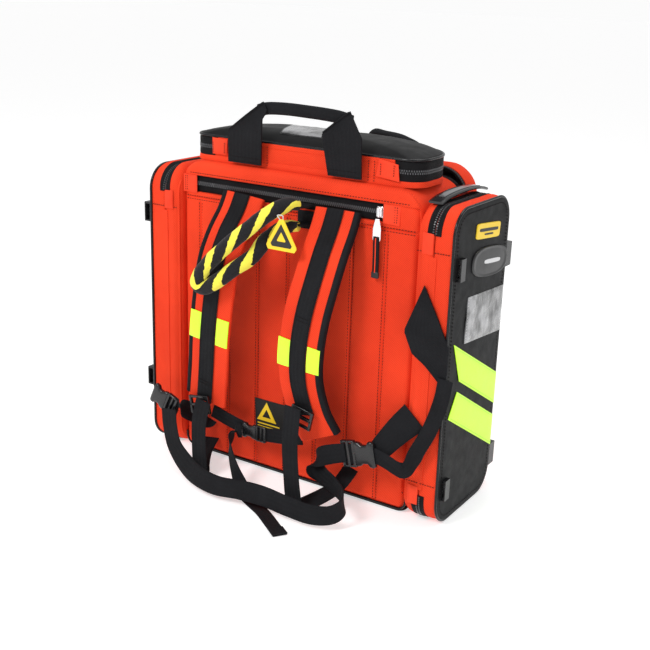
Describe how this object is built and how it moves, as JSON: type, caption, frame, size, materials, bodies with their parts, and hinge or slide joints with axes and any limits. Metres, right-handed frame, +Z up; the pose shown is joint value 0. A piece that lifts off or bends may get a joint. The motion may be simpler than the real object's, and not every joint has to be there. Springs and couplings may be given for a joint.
{
  "type": "first responder backpack",
  "caption": "Red emergency backpack with zipped compartments, side pockets with opening doors, padded shoulder straps, waist belt and carry handle.",
  "frame": {"origin": "centre of the main body's base on the ground, midway between the two side pockets", "axes": "+Z up through the carry handle, -Y towards the wearer's back, +X towards the right-hand pocket seen from the wearer's side"},
  "size_m": [0.519, 0.357, 0.5531],
  "materials": {
    "red_fabric": "coarse woven polyester",
    "red_tab": "bound webbing tab",
    "black_fabric": "coarse woven polyester",
    "black_webbing": "ribbed webbing",
    "zip_tape": "coil zip tape",
    "coated_fabric": "coated tarpaulin, satin",
    "piping": "satin",
    "hivis_tape": "retroreflective",
    "clear_vinyl": "clear, over a dark backing",
    "black_plastic": "moulded",
    "rubber_badge": "moulded, satin",
    "slider_metal": "plated",
    "pull_cord": "woven tape on a plated loop",
    "label_fabric": "printed",
    "rope_fabric": "fleecy, black with yellow patches",
    "yellow_card": "printed card"
  },
  "bodies": {
    "bag": {"main_shell": "red_fabric", "main_zip": "zip_tape", "back_panel": "red_fabric", "top_band": "red_fabric", "back_zip": "zip_tape", "back_zip_tabs": "red_tab", "back_label": "label_fabric", "base_panel": "coated_fabric", "box_shell": "red_fabric", "box_zip": "zip_tape", "box_tabs": "red_tab", "pocket_tabs": "red_tab", "right_pocket": "red_fabric", "right_pocket_zip": "zip_tape", "right_wing": "black_fabric", "left_pocket": "red_fabric", "left_pocket_zip": "zip_tape", "rope_anchor": "black_webbing", "left_pad": "red_fabric", "right_pad": "red_fabric", "left_pad_web": "black_webbing", "right_pad_web": "black_webbing", "left_lower_web": "black_webbing", "right_lower_web": "black_webbing", "sternum_strap": "black_webbing", "sternum_tail": "black_webbing", "waist_web": "black_webbing", "left_belt_anchor": "black_fabric", "right_belt_anchor": "black_fabric", "belt_buckles": "black_plastic", "right_belt_tail": "black_webbing"},
    "front_flap": {"front_shell": "red_fabric", "front_zip": "zip_tape", "front_piping": "piping", "front_hivis": "hivis_tape"},
    "front_grab": {"front_grab": "black_webbing"},
    "top_lid": {"lid_cover": "black_fabric", "lid_piping": "piping", "lid_window": "clear_vinyl"},
    "right_door": {"right_door": "red_fabric", "right_door_zip": "zip_tape", "right_panel": "coated_fabric", "right_piping": "piping", "right_hivis": "hivis_tape", "right_badge": "rubber_badge", "right_card_window": "clear_vinyl", "right_keepers": "black_plastic", "right_side_strap": "black_fabric"},
    "left_door": {"left_door": "red_fabric", "left_door_zip": "zip_tape", "left_panel": "coated_fabric", "left_piping": "piping", "left_hivis": "hivis_tape", "left_keepers": "black_plastic"},
    "carry_handle": {"carry_handle": "black_webbing"},
    "back_slider": {"back_slider": "slider_metal"},
    "back_puller": {"back_puller": "pull_cord"},
    "grab_rope": {"grab_rope": "rope_fabric"},
    "hanging_tag": {"hanging_tag": "yellow_card"},
    "right_pocket_loop": {"right_pocket_loop": "black_plastic"}
  },
  "joints": [
    {"name": "front_flap_hinge", "type": "hinge", "parent": "bag", "child": "front_flap", "pos_m": [0, 0.123, 0.004], "axis": [-1, 0, 0], "range_deg": [0, 90]},
    {"name": "front_grab_fold", "type": "hinge", "parent": "front_flap", "child": "front_grab", "pos_m": [0.058, 0.091, 0.473], "axis": [1, 0, 0], "range_deg": [0, 55]},
    {"name": "top_lid_hinge", "type": "hinge", "parent": "bag", "child": "top_lid", "pos_m": [0, -0.062, 0.4914], "axis": [1, 0, 0], "range_deg": [0, 70]},
    {"name": "right_door_hinge", "type": "hinge", "parent": "bag", "child": "right_door", "pos_m": [0.224, -0.0895, 0.22], "axis": [0, 0, -1], "range_deg": [0, 95]},
    {"name": "left_door_hinge", "type": "hinge", "parent": "bag", "child": "left_door", "pos_m": [-0.224, -0.0895, 0.22], "axis": [0, 0, 1], "range_deg": [0, 95]},
    {"name": "carry_handle_fold", "type": "hinge", "parent": "bag", "child": "carry_handle", "pos_m": [0, -0.072, 0.4635], "axis": [1, 0, 0], "range_deg": [0, 90]},
    {"name": "back_zip_slide", "type": "slide", "parent": "bag", "child": "back_slider", "axis": [1, 0, 0], "range_m": [-0.29, 0], "deforming": ["back_puller"]},
    {"name": "back_puller_swing", "type": "hinge", "parent": "back_slider", "child": "back_puller", "pos_m": [0.1375, -0.0799, 0.4152], "axis": [-1, 0, 0], "range_deg": [0, 80]},
    {"name": "grab_rope_swing", "type": "hinge", "parent": "bag", "child": "grab_rope", "pos_m": [0.024, -0.084, 0.405], "axis": [0, 0, 1], "range_deg": [0, 25]},
    {"name": "tag_swing", "type": "hinge", "parent": "grab_rope", "child": "hanging_tag", "pos_m": [0.02, -0.131, 0.403], "axis": [-1, 0, 0], "range_deg": [0, 50]},
    {"name": "pocket_loop_lift", "type": "hinge", "parent": "bag", "child": "right_pocket_loop", "pos_m": [0.204, 0.005, 0.446], "axis": [0, -1, 0], "range_deg": [0, 90]}
  ]
}
